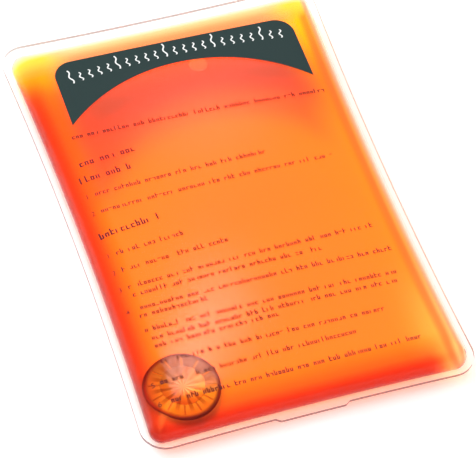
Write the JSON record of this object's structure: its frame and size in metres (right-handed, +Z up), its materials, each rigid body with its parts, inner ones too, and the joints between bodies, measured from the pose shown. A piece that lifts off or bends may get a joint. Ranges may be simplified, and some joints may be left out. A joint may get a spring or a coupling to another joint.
{
  "type": "reusable gel hand warmer",
  "caption": "Clear welded pouch filled with orange heat-pack liquid, with a loose slotted steel clicker disc and a dark arched header panel printed on the front.",
  "frame": {"origin": "under the middle of the pouch, on the flat of the back film that it lies on", "axes": "+X across the pouch, +Y along it towards the printed header end, +Z up through the front film"},
  "size_m": [0.0942, 0.14, 0.0141],
  "materials": {
    "film": "gloss",
    "gel": "gloss",
    "disc_steel": "satin",
    "header_ink": "satin"
  },
  "bodies": {
    "pouch": {"front_film": "film", "back_film": "film", "gel_fill": "gel", "header_print": "header_ink"},
    "disc_rim": {"clicker_disc_rim": "disc_steel"},
    "disc_dome": {"clicker_disc_dome": "disc_steel"}
  },
  "joints": [
    {"name": "disc_drift", "type": "slide", "parent": "pouch", "child": "disc_rim", "axis": [0, 1, 0], "range_m": [0, 0.1], "deforming": ["gel_fill"]},
    {"name": "disc_click", "type": "slide", "parent": "disc_rim", "child": "disc_dome", "axis": [0, 0, 1], "range_m": [0, 0.0009], "stiffness_N_per_m": 200, "deforming": ["gel_fill"]}
  ]
}
